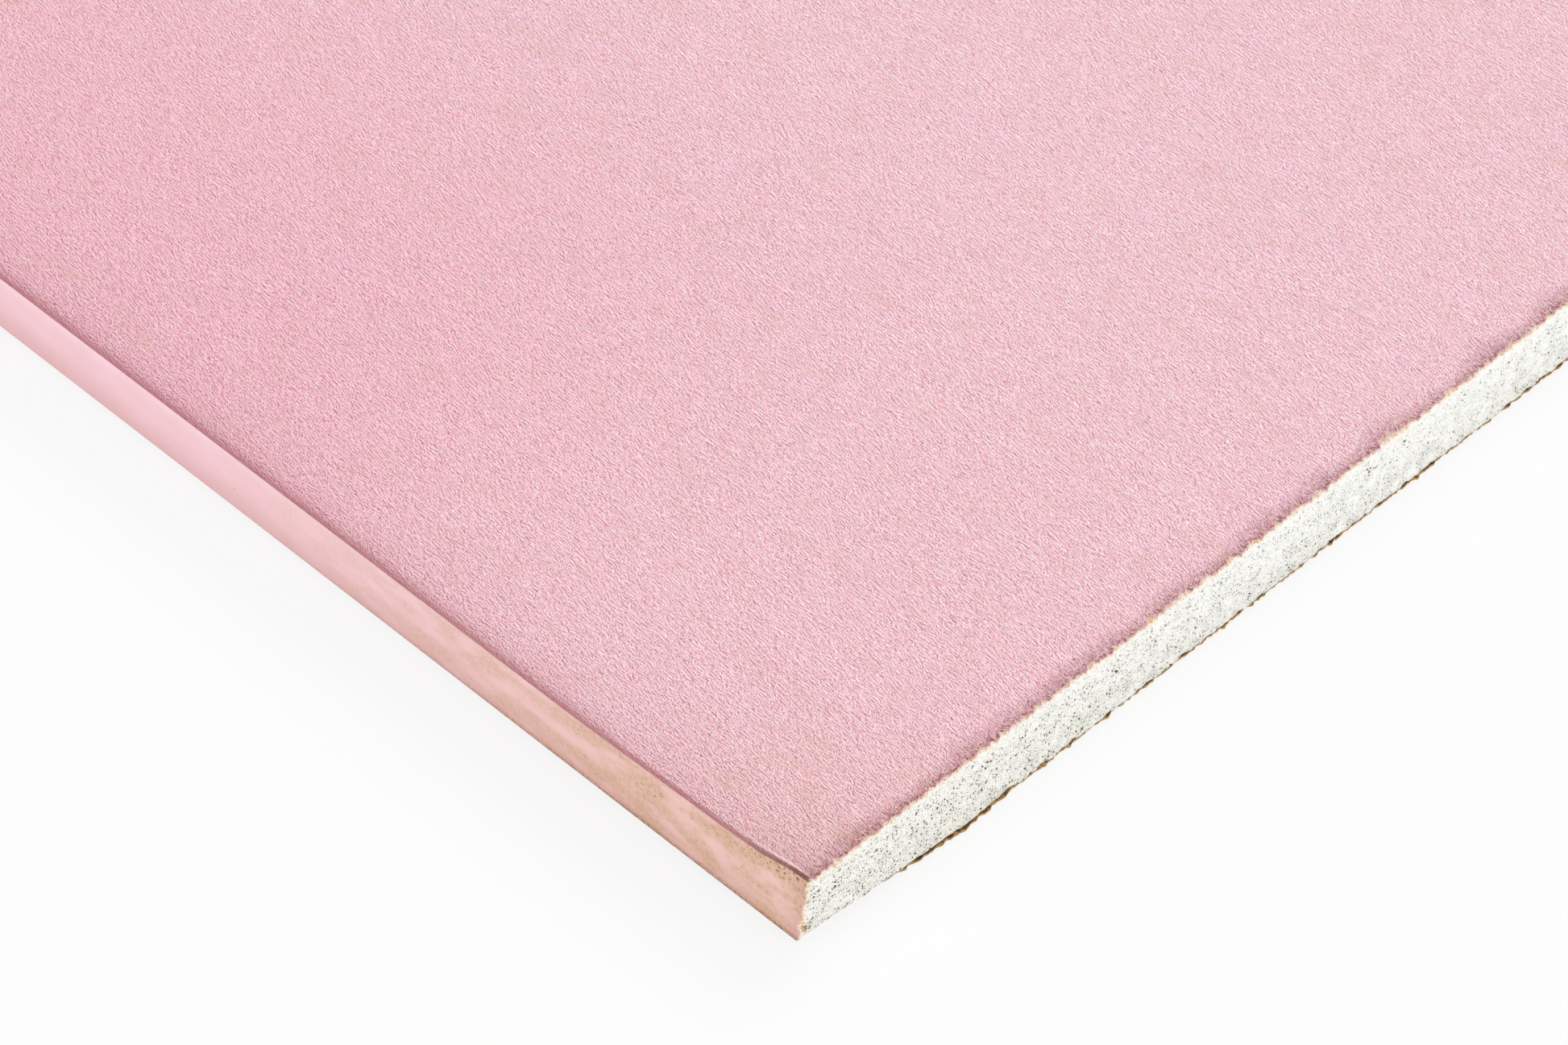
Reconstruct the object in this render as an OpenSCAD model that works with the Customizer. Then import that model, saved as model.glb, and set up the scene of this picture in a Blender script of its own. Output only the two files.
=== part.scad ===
// Drywall sheet: a gypsum core between two papers, lying flat with its face up.
// The face paper covers the face, wraps both long edges and folds in under the core.
// The back paper laps over those folds. Both ends are sawn square and show the layers.
// Origin at the middle of the back. +X runs along the wrapped edges, +Y across, +Z up.
// All sizes are in millimetres.

/* [Sheet] */
// Length along the paper-wrapped edges
sheet_length = 2400; // [600:50:3600]
// Width across, from one wrapped edge to the other
sheet_width = 1200; // [400:50:1350]
// Thickness over both papers
sheet_thickness = 12.5; // [9:0.5:25]

/* [Papers] */
// Thickness of the face paper
face_paper_thickness = 0.5; // [0.3:0.05:0.8]
// Thickness of the back paper
back_paper_thickness = 0.4; // [0.2:0.05:0.8]
// Strip of the folded face paper that the back paper leaves bare, along each long edge
bare_fold_width = 15; // [6:1:30]
// How far the back paper laps over the folded face paper
lap_width = 12; // [5:1:40]

/* [Long edges] */
// Width over which the face rolls off towards a long edge
roll_off_width = 4; // [2:0.5:8]
// How far the face has dropped where it meets the edge, at the crease
roll_off_drop = 0.8; // [0.5:0.1:1.5]
// Outer radius of the fold that takes the face paper under the sheet
fold_radius = 1.6; // [1:0.1:4]

/* [Hidden] */
$fn = 96;
// The arc that is level with the face and passes through the crease
roll_off_radius = (roll_off_width ^ 2 + roll_off_drop ^ 2) / (2 * roll_off_drop);
// Half widths of the back paper and of the stretch of core between the two folds
back_paper_half = sheet_width / 2 - bare_fold_width;
between_folds_half = back_paper_half - lap_width;
// Overshoot of a cut or a fused block past the face that it has to cross
overshoot = 1;

// Lays a cross-section, drawn across Y and up Z, out along the length of the sheet
module along_sheet() {
    rotate([90, 0, 90])
        linear_extrude(height = sheet_length, center = true)
            children();
}

// A rectangle centred on the sheet's middle line, between two heights
module centred_band(half_width, low, high) {
    translate([-half_width, low])
        square([2 * half_width, high - low]);
}

// Material above the roll-off arc beside the right-hand long edge
module above_roll_off(inset) {
    arc_centre = [sheet_width / 2 - roll_off_width, sheet_thickness - roll_off_radius];
    difference() {
        translate(arc_centre)
            square([roll_off_width + overshoot, roll_off_radius + overshoot]);
        translate(arc_centre)
            circle(r = roll_off_radius - inset);
    }
}

// Material outside the fold arc below the right-hand long edge
module outside_fold(inset) {
    arc_centre = [sheet_width / 2 - fold_radius, back_paper_thickness + fold_radius];
    difference() {
        translate([arc_centre.x, arc_centre.y - fold_radius - overshoot])
            square([fold_radius + overshoot, fold_radius + overshoot]);
        translate(arc_centre)
            circle(r = fold_radius - inset);
    }
}

// Section of all that the face paper wraps, taken in from the paper's outer surface by inset
module wrapped_section(inset) {
    difference() {
        centred_band(sheet_width / 2 - inset, back_paper_thickness + inset, sheet_thickness - inset);
        for (side = [0, 1])
            mirror([side, 0]) {
                above_roll_off(inset);
                outside_fold(inset);
            }
    }
}

// The cast gypsum: it fills the face paper and comes down to the back paper between the folds
module gypsum_core() {
    color([0.91, 0.92, 0.89])
        along_sheet()
            union() {
                wrapped_section(face_paper_thickness);
                centred_band(
                    between_folds_half,
                    back_paper_thickness,
                    back_paper_thickness + face_paper_thickness + overshoot
                );
            }
}

// The pink paper: one sheet over the face, both long edges and the two folds under the core
module face_paper() {
    color([0.90, 0.71, 0.76])
        along_sheet()
            difference() {
                wrapped_section(0);
                wrapped_section(face_paper_thickness);
                centred_band(
                    between_folds_half,
                    back_paper_thickness - overshoot,
                    back_paper_thickness + face_paper_thickness + overshoot
                );
            }
}

// The brown paper that closes the back, over the core and the edges of the folds
module back_paper() {
    color([0.66, 0.52, 0.36])
        along_sheet()
            centred_band(back_paper_half, 0, back_paper_thickness);
}

gypsum_core();
face_paper();
back_paper();
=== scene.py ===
# %% [markdown]
# # A drywall sheet
# Drywall is gypsum plaster cast between two papers. The pink face paper covers the face, wraps the
# long edges and folds in under the core. A brown paper closes the back. The sheet is sawn to length,
# so its ends show the white core between the two papers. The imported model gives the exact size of
# those three pieces, and this script gives each one its torn, porous and fibrous surface.

import bpy
import numpy as np
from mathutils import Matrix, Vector, noise


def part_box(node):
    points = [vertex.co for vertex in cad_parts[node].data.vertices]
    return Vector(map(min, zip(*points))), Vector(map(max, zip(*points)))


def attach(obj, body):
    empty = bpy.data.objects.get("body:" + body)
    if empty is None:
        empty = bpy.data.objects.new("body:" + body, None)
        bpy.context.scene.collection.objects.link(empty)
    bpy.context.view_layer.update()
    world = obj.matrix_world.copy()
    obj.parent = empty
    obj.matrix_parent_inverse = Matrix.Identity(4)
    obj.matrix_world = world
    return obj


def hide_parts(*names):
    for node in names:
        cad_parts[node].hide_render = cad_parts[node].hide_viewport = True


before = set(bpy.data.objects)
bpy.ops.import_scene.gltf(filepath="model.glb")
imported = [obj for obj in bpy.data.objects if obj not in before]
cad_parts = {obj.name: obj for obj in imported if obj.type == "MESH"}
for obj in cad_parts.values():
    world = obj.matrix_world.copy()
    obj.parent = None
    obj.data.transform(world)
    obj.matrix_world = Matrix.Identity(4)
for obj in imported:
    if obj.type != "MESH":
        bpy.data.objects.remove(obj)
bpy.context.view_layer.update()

# %% [markdown]
# ## Sizes
# Everything is worked out in millimetres, because paper and plaster are thought of that way, and is
# turned to metres when a mesh is made. The outer sizes come from the boxes of the three CAD nodes.
# The rounding of the long edges can't be read from a box, so its few values are repeated here.

# %% Sizes of the sheet in millimetres
MM = 0.001
paper_low, paper_high = (np.array(corner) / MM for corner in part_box("face_paper"))
_, core_high = (np.array(corner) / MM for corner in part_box("gypsum_core"))
_, back_high = (np.array(corner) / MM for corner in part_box("back_paper"))

half_length, half_width, face_level = (float(v) for v in paper_high)
face_paper_thickness = half_width - float(core_high[1])
back_paper_thickness = float(paper_low[2])
back_paper_half = float(back_high[1])
lap_width = 12.0
fold_radius = 1.6
roll_off_width = 4.0
roll_off_drop = 0.8
print("sheet", 2 * half_length, 2 * half_width, face_level)
print("papers", round(face_paper_thickness, 2), round(back_paper_thickness, 2))

# %% [markdown]
# ## Camera
# The photograph looks down on one corner with a long lens. Its place was found from the straight
# lines of the two edges, so it is given as an offset from the bottom of that corner.

# %% Camera at the photograph's angle
PHOTO_WIDTH_PX = 1946
FOCAL_LENGTH_PX = 5880
SENSOR_WIDTH = 36.0
corner = np.array([half_length, -half_width, 0.0])
camera_from_corner = np.array([262.1, -264.5, 450.1])
target_from_corner = np.array([-54.4, 51.1, 0.0])

lens = bpy.data.cameras.new("photo_camera")
lens.sensor_width = SENSOR_WIDTH
lens.lens = SENSOR_WIDTH * FOCAL_LENGTH_PX / PHOTO_WIDTH_PX
camera = bpy.data.objects.new("photo_camera", lens)
camera.location = (corner + camera_from_corner) * MM
looking = Vector(target_from_corner - camera_from_corner)
camera.rotation_euler = looking.to_track_quat("-Z", "Y").to_euler()
bpy.context.collection.objects.link(camera)
bpy.context.scene.camera = camera
print("lens", round(lens.lens, 1), "mm, distance", round(looking.length), "mm")

# %% [markdown]
# ## Nodes and colours
# A material here is a chain of small nodes. One function adds a node: each key is one of the node's
# own settings or an input socket, and a value that is itself a socket is linked. It hands back one
# output, so that calls can be chained. Colours are written as the sRGB hex values that a picture
# shows, and turned to the linear values that Blender mixes.

# %% One function for nodes and one for colours
# A Map Range node gives 0 at its start and 1 at its end
START, END = "From Min", "From Max"
SMOOTH = {"interpolation_type": "SMOOTHSTEP"}
MULTIPLY = {"operation": "MULTIPLY"}
HIGHEST = {"operation": "MAXIMUM"}
COLOUR_MIX = {"data_type": "RGBA"}
DARKENED = {**COLOUR_MIX, "blend_type": "MULTIPLY"}
MIXED = 2


def add(tree, kind, settings, out=0):
    node = tree.nodes.new("ShaderNode" + kind)
    for key, value in settings.items():
        if isinstance(key, str) and hasattr(node, key):
            setattr(node, key, value)
        elif isinstance(value, bpy.types.NodeSocket):
            tree.links.new(value, node.inputs[key])
        else:
            node.inputs[key].default_value = value
    return node.outputs[out] if len(node.outputs) else None


def linear(hex_colour):
    channels = [int(hex_colour[i:i + 2], 16) / 255 for i in (1, 3, 5)]
    return [c / 12.92 if c <= 0.04045 else ((c + 0.055) / 1.055) ** 2.4 for c in channels] + [1.0]


# %% Start a material with its place on the sheet in millimetres, and close it with relief and shader
def start_material(name):
    material = bpy.data.materials.new(name)
    material.use_nodes = True
    tree = material.node_tree
    tree.nodes.clear()
    place = add(tree, "TexCoord", {}, "Object")
    in_mm = add(tree, "VectorMath", {"operation": "SCALE", 0: place, "Scale": 1 / MM})
    return material, tree, in_mm


def finish_material(tree, colour, height, relief_mm, roughness, specular):
    normal = add(tree, "Bump", {"Height": height, "Strength": 1.0, "Distance": relief_mm * MM})
    surface = add(tree, "BsdfPrincipled", {
        "Base Color": colour, "Roughness": roughness, "Specular IOR Level": specular, "Normal": normal,
    })
    add(tree, "OutputMaterial", {"Surface": surface})


# %% [markdown]
# ## Paper fibres
# Both papers are pressed from recycled pulp, so under a close lens they are a felt of fibres about a
# millimetre long. The paper machine lays most of them along the length of the sheet. A noise that is
# stretched along a fibre gives a streaky height. Several such lays cross, and the highest is on top,
# as in a real felt. The difference between two heights half a fibre's width apart is painted into the
# colour as light and shade: a painted highlight on the lit side of a fibre and painted shade in the
# dark slit beside it, and finer fluff breaks both up. A few curled fibres lie over them: they are thin
# contour lines of another noise. Fibres are drawn about 0.2 mm wide, coarser than the real tenth of a
# millimetre or less, which would not show at the distance of the photograph.

# %% Noise stretched along a lay, which is an angle in degrees, and a length and a width in mm
def stretched_noise(tree, vector, location, lay, detail):
    angle, length, width = lay
    laid = add(tree, "Mapping", {
        "vector_type": "TEXTURE",
        "Vector": vector,
        "Location": location,
        "Rotation": (0.0, 0.0, np.radians(angle)),
        "Scale": (length, width, width),
    })
    return add(tree, "TexNoise", {"Vector": laid, "Scale": 1.0, **detail})


# %% Height of the felt, the highest of several lays
FELT_LAYS = ((-3, 1.1, 0.21), (-9, 1.0, 0.21), (-16, 0.9, 0.21), (5, 0.9, 0.21), (-62, 0.5, 0.2))
PLAIN = {"Detail": 0.0}
WANDER = (0.3, 0.3, 0.1)
WANDER_SIZE = 1.2


def felt_height(tree, in_mm):
    wander = add(tree, "TexNoise", {"Vector": in_mm, "Scale": 1 / WANDER_SIZE, "Detail": 1.0}, "Color")
    offset = add(tree, "VectorMath", {"operation": "SUBTRACT", 0: wander, 1: (0.5, 0.5, 0.5)})
    bent = add(tree, "VectorMath", {"operation": "MULTIPLY_ADD", 0: offset, 1: WANDER, 2: in_mm})
    height = 0.0
    for number, lay in enumerate(FELT_LAYS):
        location = (number * 3.7, number * 9.1, number * 0.4)
        fibres = stretched_noise(tree, bent, location, lay, PLAIN)
        height = add(tree, "Math", {**HIGHEST, 0: fibres, 1: height})
    return height


# %% Painted highlight and painted shade on the two sides of each fibre
BESIDE = (0.018, 0.09, 0.02)
FLUFF_SIZE = 0.14
FLUFF_SHARE = 0.4


def painted_fibre_sides(tree, in_mm, height):
    beside = add(tree, "VectorMath", {"operation": "ADD", 0: in_mm, 1: BESIDE})
    slope = add(tree, "Math", {"operation": "SUBTRACT", 0: height, 1: felt_height(tree, beside)})
    fluff = add(tree, "TexNoise", {"Vector": in_mm, "Scale": 1 / FLUFF_SIZE, "Detail": 0.0})
    slope = add(tree, "Math", {"operation": "MULTIPLY_ADD", 0: fluff, 1: FLUFF_SHARE, 2: slope})
    return add(tree, "MapRange", {"Value": slope, START: 0.06, END: 0.345})


# %% Curled fibres on top
CURL_LAYS = ((-8, 1.0, 0.4), (-45, 0.8, 0.45))
CURL_PATCH = 0.3


def curled_fibres(tree, in_mm):
    lines = 0.0
    for lay in CURL_LAYS:
        loops = stretched_noise(tree, in_mm, (lay[2], lay[1], 0.0), lay, PLAIN)
        from_line = add(tree, "Math", {"operation": "SUBTRACT", 0: loops, 1: 0.5})
        from_line = add(tree, "Math", {"operation": "ABSOLUTE", 0: from_line})
        line = add(tree, "MapRange", {**SMOOTH, "Value": from_line, START: 0.045, END: 0.01})
        lines = add(tree, "Math", {**HIGHEST, 0: line, 1: lines})
    few = add(tree, "TexNoise", {"Vector": in_mm, "Scale": 1 / CURL_PATCH, "Detail": 1.0})
    few = add(tree, "MapRange", {**SMOOTH, "Value": few, START: 0.4, END: 0.6})
    return add(tree, "Math", {**MULTIPLY, 0: lines, 1: few})


# %% [markdown]
# ## Pink face paper
# The face paper is several plies of recycled pulp, dyed pink on the outer ply and left uncoated so
# that plaster sticks to it. It is quite matt and gives the eye a soft felt: pale fibres over deeper
# pink hollows, with painted light and shade on the fibres, and a few brown specks. Five masks come
# with the mesh: the smoother wrapped edge, the painted shade of the crease, the painted highlight on
# the ridge above it, the painted shade beside a sawn end, and the pale inner plies where it is torn.
# Only the photographed corner has been handled, so the distance from it decides how tan and how
# grimy the paper is. The pink is also made deeper along the photographed edge, short of the corner.

# %% The face of the pink paper: pink, with painted shade on the dark side of each fibre and a painted highlight on its lit side
def pink_felt(tree, sides, curls):
    painted_shade, lit = (
        add(tree, "MapRange", {"Value": sides, START: 0.5, END: end}) for end in (0.0, 1.0)
    )
    pale = add(tree, "Math", {**MULTIPLY, 0: curls, 1: 0.7})
    face = linear("#FCBCCD")
    for mask, tint in ((painted_shade, "#B47F88"), (lit, "#FFEFF4"), (pale, "#FFEFF0")):
        face = add(tree, "Mix", {**COLOUR_MIX, 0: mask, 6: face, 7: linear(tint)}, MIXED)
    return face


# %% The tone of the face: deeper pink along the photographed edge, tanned by hands towards the corner
def handled_face(tree, in_mm, from_corner, face):
    along, across = (add(tree, "SeparateXYZ", {"Vector": in_mm}, axis) for axis in "XY")
    by_edge, nearby, inner, by_corner = (
        add(tree, "MapRange", {**SMOOTH, "Value": place, START: start, END: end})
        for place, start, end in (
            (across, 130 - half_width, 15 - half_width),
            (along, half_length - 600, half_length - 180),
            (along, half_length - 40, half_length - 120),
            (from_corner, 38.0, 4.0),
        )
    )
    by_edge = add(tree, "Math", {**MULTIPLY, 0: by_edge, 1: nearby})
    deeper = add(tree, "Math", {**MULTIPLY, 0: by_edge, 1: inner})
    for mask, tint in ((by_edge, "#FEFBFB"), (deeper, "#FDF2F7"), (by_corner, "#FAFAF4")):
        face = add(tree, "Mix", {**DARKENED, 0: mask, 6: face, 7: linear(tint)}, MIXED)

    # Hands leave faint tan streaks, most of them near the corner, and one smudge beside the crease
    rough = {"Detail": 7.0, "Roughness": 0.72}
    streaks = stretched_noise(tree, in_mm, (0, 0, 0), (0, 8.0, 4.0), rough)
    streaks = add(tree, "MapRange", {**SMOOTH, "Value": streaks, START: 0.46, END: 0.68})
    smudge = add(tree, "VectorMath", {
        "operation": "DISTANCE", 0: in_mm, 1: (half_length - 150, -half_width + 4, face_level),
    }, "Value")
    smudge = add(tree, "MapRange", {**SMOOTH, "Value": smudge, START: 11.0, END: 3.0, "To Max": 0.5})
    tan = add(tree, "MapRange", {"Value": by_corner, "To Min": 0.2, "To Max": 0.4})
    tan = add(tree, "Math", {**HIGHEST, 0: tan, 1: smudge})
    tan = add(tree, "Math", {**MULTIPLY, 0: tan, 1: streaks})
    return add(tree, "Mix", {**COLOUR_MIX, 0: tan, 6: face, 7: linear("#DDB39A")}, MIXED)


# %% The wrapped edge, smooth and pale, painted lighter at its top and with painted shade low down, and grime that gathers towards the handled corner
def wrapped_edge(tree, in_mm):
    along, across, height = (add(tree, "SeparateXYZ", {"Vector": in_mm}, axis) for axis in "XYZ")
    lit_top, handled_here, arris, outside, under_crease, by_cut = (
        add(tree, "MapRange", {**SMOOTH, "Value": place, START: start, END: end})
        for place, start, end in (
            (height, 9.0, 11.6),
            (along, half_length - 120, half_length - 10),
            (height, 2.9, 1.3),
            (across, 3.5 - half_width, 1.5 - half_width),
            (height, 9.4, 11.4),
            (along, half_length - 17, half_length - 5),
        )
    )
    # Painted light and shade: the band is lighter towards its top and darker towards the floor
    band = add(tree, "Mix", {**COLOUR_MIX, 0: lit_top, 6: linear("#F8CFD7"), 7: linear("#FDD7E1")}, MIXED)
    low = add(tree, "MapRange", {**SMOOTH, "Value": height, START: 7.5, END: 1.0, "To Max": 0.45})
    this_edge = add(tree, "MapRange", {"Value": across, START: 0.0, END: -1.0})
    handled_here = add(tree, "Math", {**MULTIPLY, 0: handled_here, 1: this_edge})

    # Tan grime is smeared along the edge, in patches a few millimetres long
    smear = stretched_noise(tree, in_mm, (0, 0, 0), (0, 7.0, 3.0), {"Detail": 3.0})
    smear = add(tree, "MapRange", {**SMOOTH, "Value": smear, START: 0.32, END: 0.62})
    mottle = add(tree, "TexNoise", {"Vector": in_mm, "Scale": 1 / 0.7, "Detail": 4.0, "Roughness": 0.7})
    mottle = add(tree, "MapRange", {"Value": mottle, START: 0.36, END: 0.66, "To Min": 0.35})
    smear = add(tree, "Math", {**MULTIPLY, 0: smear, 1: mottle})
    grime = add(tree, "MapRange", {"Value": handled_here, "To Min": 0.12, "To Max": 0.85})
    grime = add(tree, "Math", {**MULTIPLY, 0: smear, 1: grime})

    # Brown dirt sits in the grime, along the worn lower arris, and in specks under the crease by the cut
    dirt = add(tree, "TexNoise", {"Vector": in_mm, "Scale": 1 / 0.5, "Detail": 3.0})
    worn = add(tree, "MapRange", {"Value": dirt, START: 0.4, END: 0.62, "To Min": 0.3})
    dirt = add(tree, "MapRange", {**SMOOTH, "Value": dirt, START: 0.6, END: 0.74})
    dirt = add(tree, "Math", {**MULTIPLY, 0: dirt, 1: grime})
    for mask in (handled_here, outside, worn):
        arris = add(tree, "Math", {**MULTIPLY, 0: arris, 1: mask})
    specks = add(tree, "TexNoise", {"Vector": in_mm, "Scale": 1 / 0.45, "Detail": 2.0})
    specks = add(tree, "MapRange", {"Value": specks, START: 0.54, END: 0.7})
    for mask in (under_crease, by_cut):
        specks = add(tree, "Math", {**MULTIPLY, 0: specks, 1: mask})
    for spots in (specks, arris):
        dirt = add(tree, "Math", {**HIGHEST, 0: dirt, 1: spots})
    for mask, tint in ((handled_here, "#F0C8C0"), (low, "#D6A6A2"), (grime, "#CAA37A"), (dirt, "#7E5A3C")):
        band = add(tree, "Mix", {**COLOUR_MIX, 0: mask, 6: band, 7: linear(tint)}, MIXED)
    return band


# %% The crease rubbed smooth and darkened with painted shade, brown dirt in it near the corner, a painted highlight on the ridge above it, and painted shade beside a saw cut
def edge_shade_highlight_and_dirt(tree, in_mm, from_corner, grain, masks, colour):
    edge_band, crease, ridge, sawn_end = masks
    rubbed = add(tree, "MapRange", {"Value": crease, START: 0.6, "To Max": 0.5})
    browned = add(tree, "MapRange", {**SMOOTH, "Value": from_corner, START: 13.0, END: 3.0})
    patchy = add(tree, "MapRange", {"Value": grain, START: 0.36, END: 0.56, "To Min": 0.5})
    for mask in (crease, patchy):
        browned = add(tree, "Math", {**MULTIPLY, 0: browned, 1: mask})
    on_face = add(tree, "MapRange", {"Value": edge_band, "To Min": 1.0, "To Max": 0.3})
    sawn_end = add(tree, "Math", {**MULTIPLY, 0: sawn_end, 1: on_face})
    # The strip beside a saw cut is darkened with painted shade, with patches of it close to the cut
    cut_shade = add(tree, "MapRange", {**SMOOTH, "Value": grain, START: 0.3, END: 0.65, "To Min": 0.45})
    cut_shade = add(tree, "Math", {**MULTIPLY, 0: cut_shade, 1: sawn_end})
    cut_shade_patches = add(tree, "TexNoise", {"Vector": in_mm, "Scale": 1 / 0.5, "Detail": 4.0})
    cut_shade_patches = add(tree, "MapRange", {**SMOOTH, "Value": cut_shade_patches, START: 0.46, END: 0.62})
    close = add(tree, "MapRange", {**SMOOTH, "Value": sawn_end, START: 0.6, END: 0.9})
    close = add(tree, "Math", {"operation": "SUBTRACT", 0: close, 1: crease, "use_clamp": True})
    cut_shade_patches = add(tree, "Math", {**MULTIPLY, 0: cut_shade_patches, 1: close})
    # Painted shade in the crease and beside the saw cut, rubbed pink and brown dirt in the crease, and a
    # painted highlight on the ridge
    for way, mask, tint in (
        (COLOUR_MIX, rubbed, "#F0BAC6"), (DARKENED, crease, "#CBB1AE"), (COLOUR_MIX, browned, "#8F6650"),
        (COLOUR_MIX, ridge, "#FFE3E7"), (DARKENED, cut_shade, "#C3ABAE"), (DARKENED, cut_shade_patches, "#CDB3AC"),
    ):
        colour = add(tree, "Mix", {**way, 0: mask, 6: colour, 7: linear(tint)}, MIXED)
    return colour


# %% Pink face paper, uncoated and felt-like
def pink_face_paper():
    material, tree, in_mm = start_material("pink_uncoated_face_paper")
    height = felt_height(tree, in_mm)
    sides = painted_fibre_sides(tree, in_mm, height)
    curls = curled_fibres(tree, in_mm)
    edge_band, crease, ridge, sawn_end, torn_ply = (
        add(tree, "Attribute", {"attribute_name": name}, "Fac")
        for name in ("edge_band", "crease", "ridge", "sawn_end", "torn_ply")
    )
    grain = add(tree, "TexNoise", {"Vector": in_mm, "Scale": 1 / 0.7, "Detail": 3.0})
    from_corner = add(tree, "VectorMath", {
        "operation": "DISTANCE", 0: in_mm, 1: (half_length, -half_width, face_level),
    }, "Value")
    face = handled_face(tree, in_mm, from_corner, pink_felt(tree, sides, curls))
    band = wrapped_edge(tree, in_mm)
    colour = add(tree, "Mix", {**COLOUR_MIX, 0: edge_band, 6: face, 7: band}, MIXED)
    colour = edge_shade_highlight_and_dirt(tree, in_mm, from_corner, grain, (edge_band, crease, ridge, sawn_end), colour)

    # Torn plies are bare pulp, and recycled pulp carries specks of old print and bark
    lit = add(tree, "MapRange", {**SMOOTH, "Value": grain, START: 0.36, END: 0.55})
    ply = add(tree, "Mix", {**COLOUR_MIX, 0: lit, 6: linear("#EBC699"), 7: linear("#FFF6E8")}, MIXED)
    colour = add(tree, "Mix", {**COLOUR_MIX, 0: torn_ply, 6: colour, 7: ply}, MIXED)
    speck = add(tree, "TexVoronoi", {"Vector": in_mm, "Scale": 1 / 5.0}, "Distance")
    speck = add(tree, "MapRange", {**SMOOTH, "Value": speck, START: 0.05, END: 0.02, "To Max": 0.55})
    colour = add(tree, "Mix", {**COLOUR_MIX, 0: speck, 6: colour, 7: linear("#8A6050")}, MIXED)

    smoother = add(tree, "MapRange", {"Value": edge_band, "To Min": 1.0, "To Max": 0.1})
    relief = add(tree, "Math", {"operation": "MULTIPLY_ADD", 0: curls, 1: 0.1, 2: height})
    relief = add(tree, "Math", {**MULTIPLY, 0: relief, 1: smoother})
    finish_material(tree, colour, relief, relief_mm=0.08, roughness=0.9, specular=0.2)
    return material


# %% [markdown]
# ## Sawn gypsum
# The core is plaster foamed with air before it sets, then sawn. The saw opens its bubbles, so the
# white face is peppered with pores a tenth to four tenths of a millimetre wide, each darkened with
# painted shade and sunk by bump. Voronoi patterns in the plane of the cut place them, each cell's own
# random colour decides how large its pore is, and a little noise keeps the pores from being round.
# Just under the face paper the plaster is denser.

# %% Tone of the plaster: white, greyer towards the back with mottled painted shade, gritty, and darker by the knocked corner
def plaster_tone(tree, height, mottle, crumbs, from_corner):
    # Painted shade: the plaster greys in mottled patches towards the back paper
    low = add(tree, "MapRange", {"Value": height, START: 11.0, END: 0.0})
    low_shade = add(tree, "MapRange", {"Value": mottle, START: 0.35, END: 0.65})
    low_shade = add(tree, "Math", {**MULTIPLY, 0: low_shade, 1: low})
    grit = add(tree, "MapRange", {"Value": crumbs, START: 0.48, END: 0.28, "To Max": 0.4})
    # Darker towards the knocked corner
    darker_tint = add(tree, "MapRange", {**SMOOTH, "Value": from_corner, START: 90.0, END: 10.0})
    colour = linear("#FFFEFA")
    for way, mask, tint in (
        (COLOUR_MIX, low_shade, "#E6E6DD"), (COLOUR_MIX, grit, "#CACCC4"), (DARKENED, darker_tint, "#FCFBF8"),
    ):
        colour = add(tree, "Mix", {**way, 0: mask, 6: colour, 7: linear(tint)}, MIXED)
    return colour


# %% Sawn gypsum with open pores
# A set of pores: cell size in mm, share of cells with a pore, largest radius in cells, strength of the
# painted shade in the pore
PORES = ((0.9, 0.5, 0.15, 1.0), (0.52, 0.9, 0.2, 1.0), (0.3, 0.9, 0.22, 0.5))


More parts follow.
